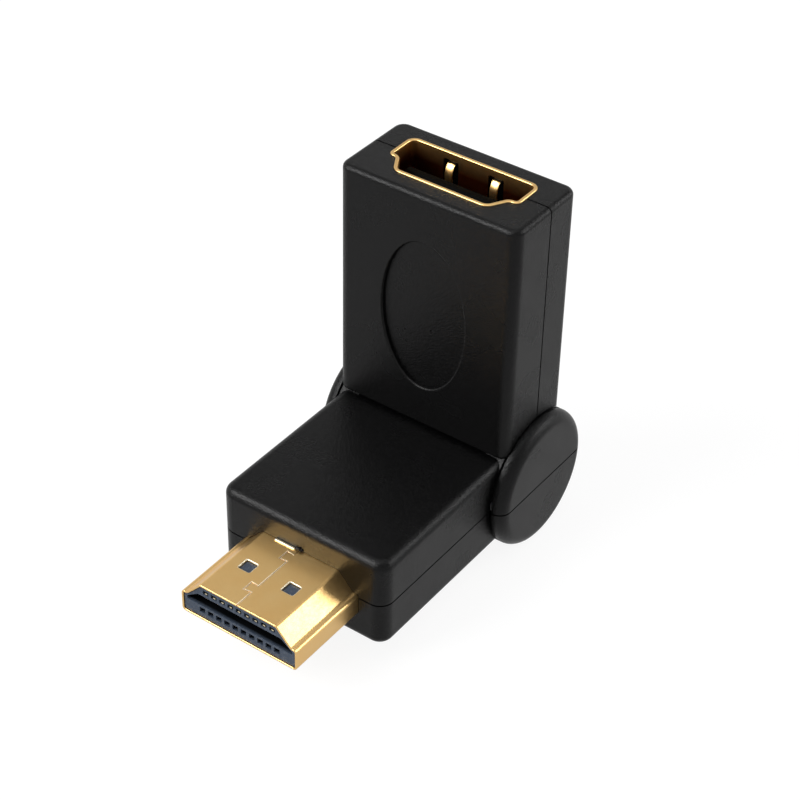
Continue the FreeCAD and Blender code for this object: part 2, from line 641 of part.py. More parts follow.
def socket_shell():
    """The socket's gold-plated shell, drawn from sheet, with a flared mouth and spring fingers."""
    straight = SOCKET_MOUTH - LIP_HEIGHT
    tube = socket_prism(SHEET, SOCKET_REAR, straight).cut(
        socket_prism(0, SOCKET_REAR - OVERSHOOT, straight + OVERSHOOT))
    outer = Part.makeLoft([on_socket_axis(socket_outline(SHEET), straight),
                           on_socket_axis(socket_outline(SHEET + LIP_FLARE), SOCKET_MOUTH)], True)
    inner = Part.makeLoft([on_socket_axis(socket_outline(), straight),
                           on_socket_axis(socket_outline(LIP_FLARE), SOCKET_MOUTH)], True)
    shell = tube.fuse(outer.cut(inner))
    rear_face = SOCKET_CENTRE + SOCKET_HEIGHT / 2
    front_face = SOCKET_CENTRE - SOCKET_HEIGHT / 2
    windows, fingers = [], []
    window_top = SOCKET_MOUTH - FINGER_WINDOW_DISTANCE
    for x in (-FINGER_SPACING / 2, FINGER_SPACING / 2):
        half = FINGER_WINDOW_WIDTH / 2
        for face, inward in ((rear_face, -1), (front_face, 1)):
            y0, y1 = sorted((face + inward * SHEET, face - inward * 2 * SHEET))
            windows.append(box(x - half, x + half, y0, y1,
                               window_top - FINGER_WINDOW_LENGTH, window_top))
            fingers.append(spring_finger(x, face, inward))
    save("socket_shell", shell.cut(windows).fuse(fingers).removeSplitter())


def socket_contact(x, side):
    """One flat contact strip; side is -1 on the front of the tongue and +1 on its back."""
    surface = TONGUE_CENTRE + side * TONGUE_THICKNESS / 2
    y0, y1 = sorted((surface, surface - side * CONTACT_THICKNESS))
    top = SOCKET_MOUTH - TONGUE_RECESS - SOCKET_CONTACT_RECESS
    half = SOCKET_CONTACT_WIDTH / 2
    return box(x - half, x + half, y0, y1, SOCKET_BOARD_TOP - CONTACT_TAIL, top)


def socket_tongue():
    """The moulded insert with the tongue that stands in the middle of the socket."""
    tip = SOCKET_MOUTH - TONGUE_RECESS
    base = socket_prism(-FIT, SOCKET_REAR, SOCKET_REAR + TONGUE_BASE)
    tongue = box(-TONGUE_WIDTH / 2, TONGUE_WIDTH / 2, TONGUE_CENTRE - TONGUE_THICKNESS / 2,
                 TONGUE_CENTRE + TONGUE_THICKNESS / 2, SOCKET_REAR, tip)
    tongue = tongue.makeChamfer(TONGUE_EDGE, edges_at(tongue, lambda p: p.z > tip - 1e-4))
    grooves = []
    for count, side in ((NARROW_SIDE_COUNT, -1), (WIDE_SIDE_COUNT, 1)):
        for x in row_places(count):
            grooves.append(socket_contact(x, side))
    save("socket_tongue", base.fuse(tongue).cut(grooves).removeSplitter())
    save("socket_contacts_upper", [socket_contact(x, -1) for x in row_places(NARROW_SIDE_COUNT)])
    save("socket_contacts_lower", [socket_contact(x, 1) for x in row_places(WIDE_SIDE_COUNT)])


def socket_board():
    """The small circuit board that the socket contacts straddle."""
    save("socket_board", box(
        -BOARD_WIDTH / 2, BOARD_WIDTH / 2, TONGUE_CENTRE - BOARD_THICKNESS / 2,
        TONGUE_CENTRE + BOARD_THICKNESS / 2, SOCKET_BOARD_FOOT, SOCKET_BOARD_TOP))


def pivot_bushes():
    """The hollow flanged bushes that carry the barrel in the ears and let the wires through."""
    start, flange_face = BARREL_END - BARREL_WALL, FLANGE_SEAT + BUSH_FLANGE
    bush = x_cylinder(BUSH_RADIUS, start, FLANGE_SEAT)
    bush = bush.fuse(x_cylinder(BUSH_FLANGE_RADIUS, FLANGE_SEAT, flange_face))
    bush = bush.cut(x_cylinder(BUSH_RADIUS - BUSH_WALL, start - OVERSHOOT, flange_face + OVERSHOOT))
    inner = BUSH_RADIUS + BUSH_RUNNING_CLEARANCE
    spring_face = SPRING_SEAT + FIT
    cone = flat_outline([
        (spring_face, SPRING_RADIUS, 0),
        (spring_face + SPRING_THICKNESS, SPRING_RADIUS, 0),
        (spring_face + SPRING_HEIGHT + SPRING_THICKNESS, inner, 0),
        (spring_face + SPRING_HEIGHT, inner, 0)])
    spring = Part.Face(cone).revolve(CENTRE, ALONG_X, 360)
    for name, right in (("pivot_bush", bush), ("disc_spring", spring)):
        save(f"{name}_right", right)
        save(f"{name}_left", mirrored(right))


def bundle(points, radii):
    """A bundle of fine wires along a path of straight runs and tangent arcs."""
    path = bent_path(points, radii, closed=False)
    start, along = points[0], points[1] - points[0]
    section = Part.Wire(Part.Circle(start, along, BUNDLE_RADIUS).toShape())
    return path.makePipe(Part.Face(section))


def wire_bundles():
    """The wires from board to board, which pass through the pivots; they twist on the hinge axis."""
    in_ear = (FLANGE_SEAT + BUSH_FLANGE + EAR_OUTER_FACE - EAR_WALL) / 2
    corner_x, corner_y = WIRE_CORNER
    plug_side = bundle(
        [Vector(BUNDLE_BOARD_OFFSET, PLUG_BOARD_REAR, 0),
         Vector(BUNDLE_BOARD_OFFSET, PLUG_BOARD_REAR + BUNDLE_LEAD, 0),
         Vector(corner_x - WIRE_CORNER_INSET, corner_y - WIRE_CORNER_BEFORE, 0),
         Vector(in_ear, corner_y + WIRE_CORNER_AFTER, 0),
         Vector(in_ear, 0, 0),
         Vector(EAR_INNER_FACE, 0, 0)],
        [0, BUNDLE_BEND, BUNDLE_BEND, BUNDLE_BEND, BUNDLE_BEND, 0])
    socket_side = bundle(
        [Vector(EAR_INNER_FACE - BUNDLE_GAP, 0, 0),
         Vector(BUNDLE_BOARD_OFFSET, 0, 0),
         Vector(BUNDLE_BOARD_OFFSET, 0, SOCKET_FOOT),
         Vector(BUNDLE_BOARD_OFFSET, TONGUE_CENTRE, SOCKET_BOARD_FOOT - BUNDLE_LEAD),
         Vector(BUNDLE_BOARD_OFFSET, TONGUE_CENTRE, SOCKET_BOARD_FOOT)],
        [0, BUNDLE_BEND, BUNDLE_BEND, BUNDLE_BEND, 0])
    for name, right in (("wires_plug_side", plug_side), ("wires_socket_side", socket_side)):
        save(f"{name}_right", right)
        save(f"{name}_left", mirrored(right))


os.makedirs("parts", exist_ok=True)
plug_housing()
plug_shell()
plug_insulator()
plug_contacts()
plug_board()
socket_housing()
socket_shell()
socket_tongue()
socket_board()
pivot_bushes()
wire_bundles()
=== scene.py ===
"""Swivel video connector adapter, as in the studio photograph: plug to the lower left, socket on top.

Sizes are in millimetres about the middle of the hinge axis, unless they are the camera's or a lamp's.
"""
import json
import math

import bmesh
import bpy
from mathutils import Matrix, Quaternion, Vector


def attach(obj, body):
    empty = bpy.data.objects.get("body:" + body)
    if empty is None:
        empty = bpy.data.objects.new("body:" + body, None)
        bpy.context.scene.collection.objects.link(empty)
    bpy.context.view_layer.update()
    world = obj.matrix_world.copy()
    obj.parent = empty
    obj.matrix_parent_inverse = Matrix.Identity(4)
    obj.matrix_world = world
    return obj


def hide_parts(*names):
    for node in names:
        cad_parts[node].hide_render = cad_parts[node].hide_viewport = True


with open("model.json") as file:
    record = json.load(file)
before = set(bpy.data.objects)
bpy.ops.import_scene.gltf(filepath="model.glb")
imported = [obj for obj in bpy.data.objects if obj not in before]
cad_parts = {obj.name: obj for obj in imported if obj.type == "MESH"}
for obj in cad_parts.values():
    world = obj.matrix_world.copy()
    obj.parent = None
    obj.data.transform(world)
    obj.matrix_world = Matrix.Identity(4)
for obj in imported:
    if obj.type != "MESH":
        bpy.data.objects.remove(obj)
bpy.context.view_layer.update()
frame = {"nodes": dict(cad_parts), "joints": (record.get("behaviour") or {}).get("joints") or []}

# Camera: a long lens that looks down on the adapter from the front right. Its place comes from the
# edges of the plug, the housings and the ears, fitted together to the photograph.
camera_target = Vector((-0.005638, 0.012423, 0.0104))
camera_distance = 0.216203
camera_azimuth = math.radians(35.283)
camera_elevation = math.radians(37.985)
camera_roll = math.radians(1.213)
camera_back = Vector((
    math.sin(camera_azimuth) * math.cos(camera_elevation),
    -math.cos(camera_azimuth) * math.cos(camera_elevation),
    math.sin(camera_elevation)))
camera_data = bpy.data.cameras.new("studio_camera")
camera_data.sensor_width = 36.0
camera_data.lens = 93.439
camera_data.clip_start = 0.01
camera = bpy.data.objects.new("studio_camera", camera_data)
camera.rotation_mode = "QUATERNION"
camera.location = camera_target + camera_back * camera_distance
camera.rotation_quaternion = (
    (-camera_back).to_track_quat("-Z", "Y") @ Quaternion((0, 0, 1), camera_roll))
bpy.context.scene.collection.objects.link(camera)
bpy.context.scene.camera = camera


# Studio: a white sweep with large soft boxes. The floor and the world are white to the camera, to the
# gold and to the plastic's gloss, and the floor keeps the adapter's faint shadow.
def soft_box(name, place, size, power):
    """A square or oblong area lamp that looks from its place at the middle of the adapter."""
    lamp_data = bpy.data.lights.new(name, "AREA")
    lamp_data.shape = "RECTANGLE"
    lamp_data.size, lamp_data.size_y = size
    lamp_data.energy = power
    lamp = bpy.data.objects.new(name, lamp_data)
    lamp.location = adapter_middle + place
    lamp.rotation_mode = "QUATERNION"
    lamp.rotation_quaternion = (-place).to_track_quat("-Z", "Y")
    bpy.context.scene.collection.objects.link(lamp)


adapter_middle = Vector((0.0, 0.0, 0.015))
lamp_distance = 0.45
soft_box("top_box", lamp_distance * Vector((0.0, 0.0, 1.0)), (0.36, 0.36), 0.45)
soft_box("back_right_box", lamp_distance * Vector((0.644, 0.643, 0.413)), (0.20, 0.20), 0.6)
soft_box("front_left_box", lamp_distance * Vector((-0.454, -0.617, 0.643)), (0.28, 0.24), 1.9)


def seen_white(nodes, links):
    """Three masks, which are 1 for the camera, for rays that gloss and glass send out, and for both."""
    rays = nodes.new("ShaderNodeLightPath")
    shiny = nodes.new("ShaderNodeMath")
    shiny.operation = "MAXIMUM"
    links.new(rays.outputs["Is Glossy Ray"], shiny.inputs[0])
    links.new(rays.outputs["Is Transmission Ray"], shiny.inputs[1])
    seen = nodes.new("ShaderNodeMath")
    seen.operation = "MAXIMUM"
    links.new(rays.outputs["Is Camera Ray"], seen.inputs[0])
    links.new(shiny.outputs["Value"], seen.inputs[1])
    return rays.outputs["Is Camera Ray"], shiny.outputs["Value"], seen.outputs["Value"]


world = bpy.data.worlds.new("white_sweep")
bpy.context.scene.world = world
world.use_nodes = True
nodes, links = world.node_tree.nodes, world.node_tree.links
nodes.clear()
for_camera, for_gloss, _ = seen_white(nodes, links)
sweep_out = nodes.new("ShaderNodeOutputWorld")
sweep_seen = nodes.new("ShaderNodeBackground")
sweep_seen.inputs["Color"].default_value = (1.0, 1.0, 1.0, 1.0)
sweep_light = nodes.new("ShaderNodeBackground")
sweep_light.inputs["Color"].default_value = (1.0, 1.0, 1.0, 1.0)
sweep_light.inputs["Strength"].default_value = 0.28
sweep_gloss = nodes.new("ShaderNodeBackground")
direction = nodes.new("ShaderNodeTexCoord")
height = nodes.new("ShaderNodeSeparateXYZ")
fall = nodes.new("ShaderNodeMapRange")
fall.inputs["From Min"].default_value = 0.1
fall.inputs["From Max"].default_value = 0.6
fall.inputs["To Min"].default_value = 1.0
fall.inputs["To Max"].default_value = 0.6
links.new(direction.outputs["Generated"], height.inputs["Vector"])
links.new(height.outputs["Z"], fall.inputs["Value"])
links.new(fall.outputs["Result"], sweep_gloss.inputs["Strength"])
gloss_mix = nodes.new("ShaderNodeMixShader")
links.new(for_gloss, gloss_mix.inputs["Fac"])
links.new(sweep_light.outputs["Background"], gloss_mix.inputs[1])
links.new(sweep_gloss.outputs["Background"], gloss_mix.inputs[2])
sweep_mix = nodes.new("ShaderNodeMixShader")
links.new(for_camera, sweep_mix.inputs["Fac"])
links.new(gloss_mix.outputs["Shader"], sweep_mix.inputs[1])
links.new(sweep_seen.outputs["Background"], sweep_mix.inputs[2])
links.new(sweep_mix.outputs["Shader"], sweep_out.inputs["Surface"])

floor_mesh = bmesh.new()
bmesh.ops.create_grid(floor_mesh, x_segments=1, y_segments=1, size=1.5)
floor_data = bpy.data.meshes.new("floor")
floor_mesh.to_mesh(floor_data)
floor_mesh.free()
floor = bpy.data.objects.new("floor", floor_data)
bpy.context.scene.collection.objects.link(floor)
floor_paint = bpy.data.materials.new("white_sweep_paper")
floor_paint.use_nodes = True
nodes, links = floor_paint.node_tree.nodes, floor_paint.node_tree.links
nodes.clear()
for_camera, _, for_both = seen_white(nodes, links)
floor_out = nodes.new("ShaderNodeOutputMaterial")
paper = nodes.new("ShaderNodeBsdfDiffuse")
paper.inputs["Color"].default_value = (0.8, 0.8, 0.8, 1.0)
paper_seen = nodes.new("ShaderNodeBsdfDiffuse")
paper_seen.inputs["Color"].default_value = (0.14, 0.14, 0.14, 1.0)
paper_glow = nodes.new("ShaderNodeEmission")
glow_level = nodes.new("ShaderNodeMapRange")
glow_level.inputs["To Min"].default_value = 0.54
glow_level.inputs["To Max"].default_value = 0.9
paper_sum = nodes.new("ShaderNodeAddShader")
paper_mix = nodes.new("ShaderNodeMixShader")
links.new(paper_seen.outputs["BSDF"], paper_sum.inputs[0])
links.new(paper_glow.outputs["Emission"], paper_sum.inputs[1])
links.new(for_camera, glow_level.inputs["Value"])
links.new(glow_level.outputs["Result"], paper_glow.inputs["Strength"])
links.new(for_both, paper_mix.inputs["Fac"])
links.new(paper.outputs["BSDF"], paper_mix.inputs[1])
links.new(paper_sum.outputs["Shader"], paper_mix.inputs[2])
links.new(paper_mix.outputs["Shader"], floor_out.inputs["Surface"])
floor_data.materials.append(floor_paint)


# Plug insert: a slate-grey glass-filled nylon moulding, pressed into the shell. It carries nine upper
# and ten lower contacts round the mating slot, and each contact shows in a small window of its own.
hinge = Vector(frame["joints"][0]["pos_m"])
front_of_plug = -34.55
rear_of_plug = -19.9
plug_sheet = 0.22
fit = 0.04


def brick(low, high):
    """A box between two corners, in millimetres about the hinge."""
    mesh = bmesh.new()
    bmesh.ops.create_cube(mesh, size=1.0)
    low, high = Vector(low), Vector(high)
    bmesh.ops.scale(mesh, vec=high - low, verts=mesh.verts)
    bmesh.ops.translate(mesh, vec=(low + high) / 2, verts=mesh.verts)
    return mesh


def rounded(mesh, radius, steps, pick):
    """Round the edges that pick chooses by the direction along them and the place of their middle."""
    chosen = []
    for edge in mesh.edges:
        start, end = (vert.co for vert in edge.verts)
        if pick((end - start).normalized(), (start + end) / 2):
            chosen.append(edge)
    bmesh.ops.bevel(mesh, geom=chosen, offset=radius, offset_type="OFFSET", segments=steps,
                    profile=0.5, affect="EDGES", clamp_overlap=False, material=-1)
    return mesh


def as_object(mesh, name):
    """Give a finished bmesh to an object in the scene."""
    data = bpy.data.meshes.new(name)
    mesh.to_mesh(data)
    mesh.free()
    made = bpy.data.objects.new(name, data)
    bpy.context.scene.collection.objects.link(made)
    return made


def gathered(meshes):
    """Several solids in one mesh."""
    whole = bmesh.new()
    for mesh in meshes:
        data = bpy.data.meshes.new("part_of_tool")
        mesh.to_mesh(data)
        mesh.free()
        whole.from_mesh(data)
        bpy.data.meshes.remove(data)
    return whole


def combined(mesh, operation, tools):
    """A solid joined with, cut by or kept within others."""
    work, tool = as_object(mesh, "workpiece"), as_object(gathered(tools), "tool")
    step = work.modifiers.new("cut", "BOOLEAN")
    step.operation = operation
    step.solver = "EXACT"
    step.object = tool
    result = bmesh.new()
    result.from_object(work, bpy.context.evaluated_depsgraph_get())
    for used in (work, tool):
        data = used.data
        bpy.data.objects.remove(used)
        bpy.data.meshes.remove(data)
    bmesh.ops.remove_doubles(result, verts=result.verts, dist=0.002)
    bmesh.ops.dissolve_limit(result, angle_limit=math.radians(0.4), verts=result.verts,
                             edges=result.edges)
    return result


def softened(mesh, width, steps=2, pick=None, finish=-1):
    """Take the keenness off the outward edges, as moulding, plating and tumbling do."""
    chosen = []
    for edge in mesh.edges:
        middle = (edge.verts[0].co + edge.verts[1].co) / 2
        if edge.is_manifold and edge.calc_face_angle_signed() > math.radians(35):
            if pick is None or pick(middle):
                chosen.append(edge)
    bmesh.ops.bevel(mesh, geom=chosen, offset=width, offset_type="OFFSET", segments=steps,
                    profile=0.5, affect="EDGES", clamp_overlap=True, material=finish)
    return mesh


def piece(mesh, name, material, body, slot, *replaced):
    """Bring a piece from millimetres about the hinge to the part's frame, and let it ride."""
    bmesh.ops.scale(mesh, vec=(0.001, 0.001, 0.001), verts=mesh.verts)
    bmesh.ops.translate(mesh, vec=hinge, verts=mesh.verts)
    for face in mesh.faces:
        face.smooth = True
    for edge in mesh.edges:
        edge.smooth = not (edge.is_manifold and edge.calc_face_angle() > math.radians(40))
    made = as_object(mesh, name)
    made.data.materials.append(material)
    shading = made.modifiers.new("even_shading", "WEIGHTED_NORMAL")
    shading.keep_sharp = True
    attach(made, body)
    if replaced:
        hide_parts(*replaced)
    return made


def connector_prism(sizes, spread, length):
    """A prism of a connector's D section, wide side down, spread evenly, that runs up from Z = 0."""
    width, tall, narrow, shoulder, ledge, radii = sizes
    base, side, hollow, top = radii
    lean = (width / 2 - ledge - narrow / 2) / (tall / 2 - shoulder)
    shift = spread * (math.hypot(1, lean) - lean)
    ledge_left = ledge + spread - shift
    turn = math.pi / 2 - math.atan(lean)
    hollow = min(hollow - spread, 0.95 * (ledge_left - side - spread) / math.tan(turn / 2))
    right = [
        (width / 2 + spread, -tall / 2 - spread, base + spread),
        (width / 2 + spread, shoulder + spread, side + spread),
        (width / 2 - ledge + shift, shoulder + spread, hollow),
        (narrow / 2 + shift, tall / 2 + spread, top + spread)]
    corners = right + [(-x, y, radius) for x, y, radius in reversed(right)]
    mesh = bmesh.new()
    verts = [mesh.verts.new((x, y, 0)) for x, y, radius in corners]
    mesh.faces.new(verts)
    for i, vert in enumerate(verts):
        here = Vector(corners[i][:2])
        back = Vector(corners[i - 1][:2]) - here
        ahead = Vector(corners[(i + 1) % len(corners)][:2]) - here
        reach = corners[i][2] / math.tan(back.angle(ahead) / 2)
        bmesh.ops.bevel(mesh, geom=[vert], offset=reach, offset_type="OFFSET", segments=8,
                        profile=0.5, affect="VERTICES", clamp_overlap=False, material=-1)
    raised = bmesh.ops.extrude_face_region(mesh, geom=mesh.faces[:])["geom"]
    bmesh.ops.translate(mesh, vec=(0, 0, length),
                        verts=[part for part in raised if isinstance(part, bmesh.types.BMVert)])
    bmesh.ops.recalc_face_normals(mesh, faces=mesh.faces)
    return mesh


plug_sizes = (13.9, 4.45, 9.2, 0.36, 0.6, (0.45, 0.4, 0.5, 0.5))


def plug_prism(spread, front, rear):
    """A solid of the plug's section between two distances along the plug."""
    mesh = connector_prism(plug_sizes, spread, rear - front)
    bmesh.ops.rotate(mesh, matrix=Matrix.Rotation(math.pi / 2, 3, "X"), verts=mesh.verts)
    bmesh.ops.translate(mesh, vec=(0, rear, 0), verts=mesh.verts)
    return mesh


insert_front = front_of_plug + 0.15
slot_depth = 7.6
slot_floor, slot_roof = -0.55, 0.75
slot_width, slot_roof_width, slot_side = 12.7, 10.0, 0.35
window_width, window_depth = 0.66, 6.5
upper_window, lower_window = 0.48, 0.6
upper_row, lower_row = (9, 1.3), (10, -1.13)

slot = bmesh.new()
slot_corners = [(slot_width / 2, slot_floor), (slot_width / 2, slot_floor + slot_side),
                (slot_roof_width / 2, slot_roof)]
slot_corners += [(-x, z) for x, z in reversed(slot_corners)]
slot.faces.new([slot.verts.new((x, insert_front - 1, z)) for x, z in slot_corners])
slot_end = bmesh.ops.extrude_face_region(slot, geom=slot.faces[:])["geom"]
bmesh.ops.translate(slot, vec=(0, slot_depth + 1, 0),
                    verts=[part for part in slot_end if isinstance(part, bmesh.types.BMVert)])
bmesh.ops.recalc_face_normals(slot, faces=slot.faces)
slot = rounded(slot, 0.12, 3, lambda along, middle: abs(along.y) > 0.99)
insert_cuts = []
for (count, level), window_height in ((upper_row, upper_window), (lower_row, lower_window)):
    for i in range(count):
        x = i - (count - 1) / 2
        window = brick((x - window_width / 2, insert_front - 1, level - window_height / 2),
                       (x + window_width / 2, insert_front + window_depth, level + window_height / 2))
        insert_cuts.append(rounded(window, 0.06, 2, lambda along, middle: abs(along.y) > 0.99))
insert = combined(plug_prism(-plug_sheet - fit, insert_front, rear_of_plug), "DIFFERENCE", [slot])
insert = combined(insert, "DIFFERENCE", insert_cuts)
insert = softened(insert, 0.035, 2, lambda middle: middle.y < insert_front + 0.01)


def mould_grain_group():
    """Grain of a spark-eroded mould, with its slow clouding and its small bright specks."""
    group = bpy.data.node_groups.new("mould_grain", "ShaderNodeTree")
    group.interface.new_socket("Place", in_out="INPUT", socket_type="NodeSocketVector")
    group.interface.new_socket("Grains per metre", in_out="INPUT", socket_type="NodeSocketFloat")
    group.interface.new_socket("Height", in_out="OUTPUT", socket_type="NodeSocketFloat")
    group.interface.new_socket("Specks", in_out="OUTPUT", socket_type="NodeSocketFloat")
    group.interface.new_socket("Clouds", in_out="OUTPUT", socket_type="NodeSocketFloat")
    entry = group.nodes.new("NodeGroupInput")
    leave = group.nodes.new("NodeGroupOutput")
    grain = group.nodes.new("ShaderNodeTexNoise")
    grain.inputs["Detail"].default_value = 1.0
    grain.inputs["Roughness"].default_value = 0.5
    clouds = group.nodes.new("ShaderNodeTexNoise")
    clouds.inputs["Scale"].default_value = 230.0
    clouds.inputs["Detail"].default_value = 3.0
    specks = group.nodes.new("ShaderNodeMapRange")
    specks.inputs["From Min"].default_value = 0.5
    specks.inputs["From Max"].default_value = 0.72
    group.links.new(entry.outputs["Place"], grain.inputs["Vector"])
    group.links.new(entry.outputs["Grains per metre"], grain.inputs["Scale"])
    group.links.new(entry.outputs["Place"], clouds.inputs["Vector"])
    group.links.new(grain.outputs["Fac"], specks.inputs["Value"])
    group.links.new(grain.outputs["Fac"], leave.inputs["Height"])
    group.links.new(specks.outputs["Result"], leave.inputs["Specks"])
    group.links.new(clouds.outputs["Fac"], leave.inputs["Clouds"])
    return group


mould_grain = mould_grain_group()


def moulded_plastic(name, deep, pale, rough, specular, grains, relief):
    """A moulded plastic: grained, a little paler on its specks, and clouded in its gloss."""
    material = bpy.data.materials.new(name)
    material.use_nodes = True
    nodes, links = material.node_tree.nodes, material.node_tree.links
    surface = nodes["Principled BSDF"]
    surface.inputs["Specular IOR Level"].default_value = specular
    place = nodes.new("ShaderNodeTexCoord")
    grain = nodes.new("ShaderNodeGroup")
    grain.node_tree = mould_grain
    grain.inputs["Grains per metre"].default_value = grains
    links.new(place.outputs["Object"], grain.inputs["Place"])
    tone = nodes.new("ShaderNodeMix")
    tone.data_type = "RGBA"
    tone.inputs["A"].default_value = (*deep, 1.0)
    tone.inputs["B"].default_value = (*pale, 1.0)
    links.new(grain.outputs["Specks"], tone.inputs["Factor"])
    links.new(tone.outputs["Result"], surface.inputs["Base Color"])
    gloss = nodes.new("ShaderNodeMapRange")
    gloss.inputs["From Min"].default_value = 0.3
    gloss.inputs["From Max"].default_value = 0.7
    gloss.inputs["To Min"].default_value = rough[0]
    gloss.inputs["To Max"].default_value = rough[1]
    links.new(grain.outputs["Clouds"], gloss.inputs["Value"])
    links.new(gloss.outputs["Result"], surface.inputs["Roughness"])
    bump = nodes.new("ShaderNodeBump")
    bump.inputs["Distance"].default_value = relief
    links.new(grain.outputs["Height"], bump.inputs["Height"])
    links.new(bump.outputs["Normal"], surface.inputs["Normal"])
    return material


slate_nylon = moulded_plastic(
    "slate_nylon", (0.045, 0.06, 0.088), (0.075, 0.092, 0.12), (0.38, 0.5), 0.22, 4200.0, 0.00003)


def painted_depth_shade(material, shade_colour, *limits):
    """Paint shade into a material, darker with depth: each limit is an axis and where the painted shade
    starts and is complete.
    """
    nodes, links = material.node_tree.nodes, material.node_tree.links
    place = nodes.new("ShaderNodeSeparateXYZ")
    links.new(nodes["Texture Coordinate"].outputs["Object"], place.inputs["Vector"])
    depth = None
    for axis, start, full in limits:
        inward = nodes.new("ShaderNodeMapRange")
        inward.inputs["From Min"].default_value = hinge["XYZ".index(axis)] + 0.001 * start
        inward.inputs["From Max"].default_value = hinge["XYZ".index(axis)] + 0.001 * full
        links.new(place.outputs[axis], inward.inputs["Value"])
        if depth is None:
            depth = inward.outputs["Result"]
        else:
            both = nodes.new("ShaderNodeMath")
            both.operation = "MULTIPLY"
            links.new(depth, both.inputs[0])
            links.new(inward.outputs["Result"], both.inputs[1])
            depth = both.outputs["Value"]
    shade = nodes.new("ShaderNodeMix")
    shade.data_type = "RGBA"
    shade.inputs["B"].default_value = (*shade_colour, 1.0)
    links.new(depth, shade.inputs["Factor"])
    links.new(nodes["Mix"].outputs["Result"], shade.inputs["A"])
    links.new(shade.outputs["Result"], nodes["Principled BSDF"].inputs["Base Color"])
    return material


# Painted shade: the slate insert turns near black inside its slot and contact windows, from just behind
# its front face, but not on its top seen through the latch holes.
painted_depth_shade(slate_nylon, (0.001, 0.0014, 0.0022), ("Y", insert_front + 0.06, insert_front + 0.4),
         ("Z", 1.75, 1.66))
piece(insert, "plug_insert", slate_nylon, "plug_half", "plug_insulator", "plug_insulator")


# Contacts: stamped phosphor bronze with a thin gold flash. Their bowed tips show in the windows of the
# plug insert, and flat strips lie in the grooves of the socket's tongue.
def plating_group():
    """Uneven tone and fine straight polishing marks of gold plating."""
    group = bpy.data.node_groups.new("plating_marks", "ShaderNodeTree")
    group.interface.new_socket("Place", in_out="INPUT", socket_type="NodeSocketVector")
    group.interface.new_socket("Marks", in_out="OUTPUT", socket_type="NodeSocketFloat")
    group.interface.new_socket("Tone", in_out="OUTPUT", socket_type="NodeSocketFloat")
    entry = group.nodes.new("NodeGroupInput")
    leave = group.nodes.new("NodeGroupOutput")
    stretch = group.nodes.new("ShaderNodeMapping")
    stretch.inputs["Scale"].default_value = (3200.0, 2400.0, 3200.0)
    marks = group.nodes.new("ShaderNodeTexNoise")
    marks.inputs["Scale"].default_value = 1.0
    marks.inputs["Detail"].default_value = 2.0
    tone = group.nodes.new("ShaderNodeTexNoise")
    tone.inputs["Scale"].default_value = 420.0
    tone.inputs["Detail"].default_value = 3.0
    group.links.new(entry.outputs["Place"], stretch.inputs["Vector"])
    group.links.new(stretch.outputs["Vector"], marks.inputs["Vector"])
    group.links.new(entry.outputs["Place"], tone.inputs["Vector"])
    group.links.new(marks.outputs["Fac"], leave.inputs["Marks"])
    group.links.new(tone.outputs["Fac"], leave.inputs["Tone"])
    return group


plating_marks = plating_group()


def plated_metal(name, deep, bright, rough, relief):
    """A metal surface with fine marks and an uneven tone."""
    material = bpy.data.materials.new(name)
    material.use_nodes = True
    nodes, links = material.node_tree.nodes, material.node_tree.links
    surface = nodes["Principled BSDF"]
    surface.inputs["Metallic"].default_value = 1.0
    place = nodes.new("ShaderNodeTexCoord")
    wear = nodes.new("ShaderNodeGroup")
    wear.node_tree = plating_marks
    links.new(place.outputs["Object"], wear.inputs["Place"])
    tone = nodes.new("ShaderNodeMix")
    tone.data_type = "RGBA"
    tone.inputs["A"].default_value = (*deep, 1.0)
    tone.inputs["B"].default_value = (*bright, 1.0)
    links.new(wear.outputs["Tone"], tone.inputs["Factor"])
    links.new(tone.outputs["Result"], surface.inputs["Base Color"])
    gloss = nodes.new("ShaderNodeMapRange")
    gloss.inputs["From Min"].default_value = 0.3
    gloss.inputs["From Max"].default_value = 0.7
    gloss.inputs["To Min"].default_value = rough[0]
    gloss.inputs["To Max"].default_value = rough[1]
    links.new(wear.outputs["Marks"], gloss.inputs["Value"])
    links.new(gloss.outputs["Result"], surface.inputs["Roughness"])
    bump = nodes.new("ShaderNodeBump")
    bump.inputs["Distance"].default_value = relief
    links.new(wear.outputs["Marks"], bump.inputs["Height"])
    links.new(bump.outputs["Normal"], surface.inputs["Normal"])
    return material


def dress(material, *names):
    """Give CAD nodes whose shape is right their finish."""
    for name in names:
        data = frame["nodes"][name].data
        data.materials.clear()
        data.materials.append(material)


contact_gold = plated_metal(
    "contact_gold_flash", (0.95, 0.8, 0.52), (1.0, 0.88, 0.62), (0.16, 0.3), 0.000003)
dress(contact_gold, "socket_contacts_upper", "socket_contacts_lower")


def bent_strip(line, x, width, thick):
    """A strip of sheet, across the middle plane, that follows a line of (y, z) points."""
    strip = bmesh.new()
    bmesh.ops.create_grid(strip, x_segments=1, y_segments=len(line) - 1, size=0.5)
    for vert in strip.verts:
        y, z = line[round((vert.co.y + 0.5) * (len(line) - 1))]
        vert.co = Vector((x + width * vert.co.x, y, z)) - Vector(thick) / 2
    skin = bmesh.ops.extrude_face_region(strip, geom=strip.faces[:])["geom"]
    bmesh.ops.translate(strip, vec=thick,
                        verts=[part for part in skin if isinstance(part, bmesh.types.BMVert)])
    bmesh.ops.recalc_face_normals(strip, faces=strip.faces)
    return softened(strip, 0.03, 2)


